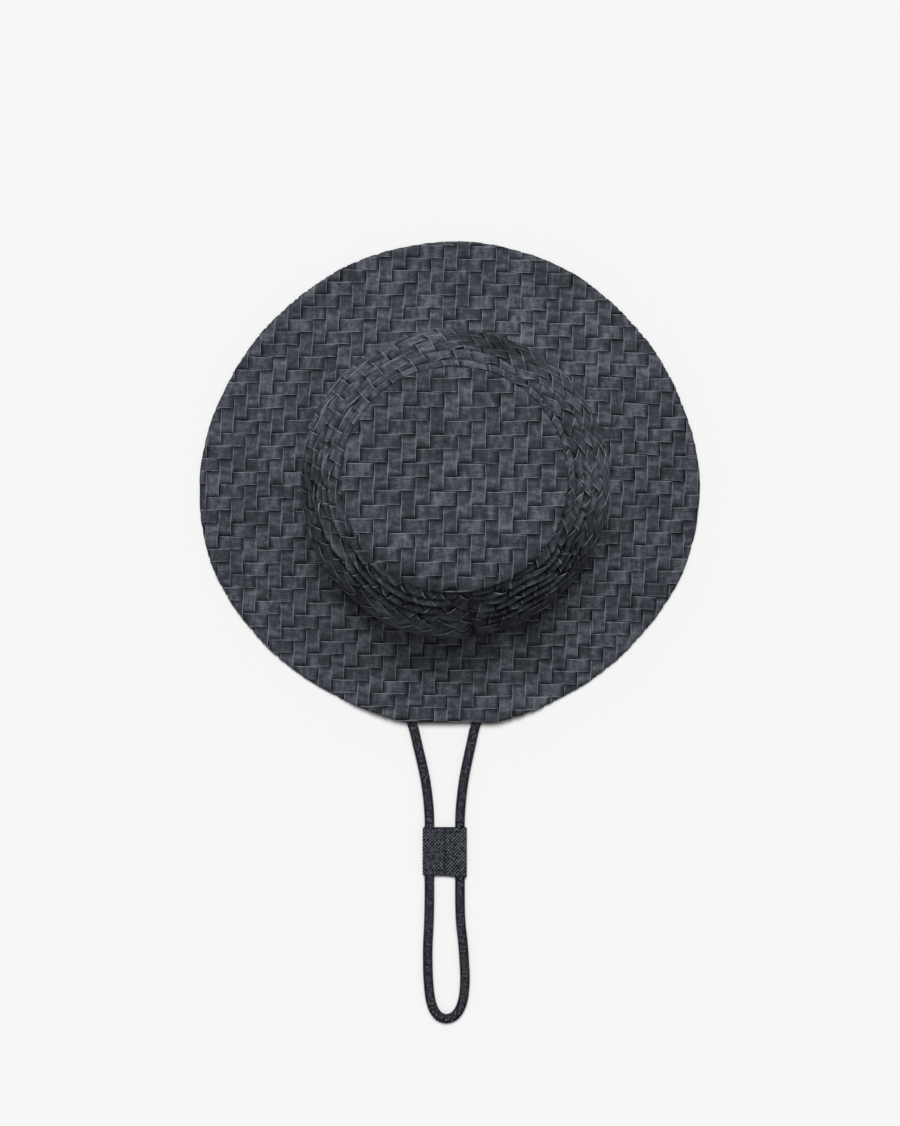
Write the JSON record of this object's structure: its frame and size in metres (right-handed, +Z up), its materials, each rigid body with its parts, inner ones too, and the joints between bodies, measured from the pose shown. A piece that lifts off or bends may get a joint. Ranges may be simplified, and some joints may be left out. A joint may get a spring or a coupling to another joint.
{
  "type": "sun hat",
  "caption": "Packable woven-strip sun hat with a wide soft brim, inner sweatband and a looped chin strap with sliding keeper.",
  "frame": {"origin": "middle of the hat's bounding box at the height the hem of the brim rests on, measured without the chin strap and its keeper", "axes": "+Z up through the crown, +Y towards the front of the hat, +X to the wearer's right-hand side seen from above with the front away, the chin strap laid towards -Y"},
  "size_m": [0.3124, 0.488, 0.084],
  "materials": {
    "woven_strip": "matte flat strips with fine lengthwise fibres",
    "binding_tape": "matte woven tape",
    "sweatband_ribbon": "matte ribbed ribbon",
    "strap_braid": "matte flat braid",
    "keeper_webbing": "matte twill webbing",
    "sewing_thread": "matte twisted thread"
  },
  "bodies": {
    "hat": {"crown_tip": "woven_strip", "crown_side_band": "woven_strip", "brim": "woven_strip", "tip_seam_binding": "binding_tape", "back_seam_binding": "binding_tape", "sweatband": "sweatband_ribbon", "sweatband_join": "sweatband_ribbon", "anchor_tab_left": "keeper_webbing", "anchor_tab_right": "keeper_webbing", "anchor_tack_left": "sewing_thread", "anchor_tack_right": "sewing_thread"},
    "strap": {"chin_strap": "strap_braid"},
    "keeper": {"keeper_sleeve": "keeper_webbing", "keeper_stitch": "sewing_thread"}
  },
  "joints": [
    {"name": "strap_swing", "type": "hinge", "parent": "hat", "child": "strap", "pos_m": [0.0029, -0.00236, 0.0165], "axis": [1, 0, 0], "range_deg": [0, 135]},
    {"name": "keeper_slide", "type": "slide", "parent": "strap", "child": "keeper", "axis": [0, 1, 0], "range_m": [-0.025, 0.012]}
  ]
}
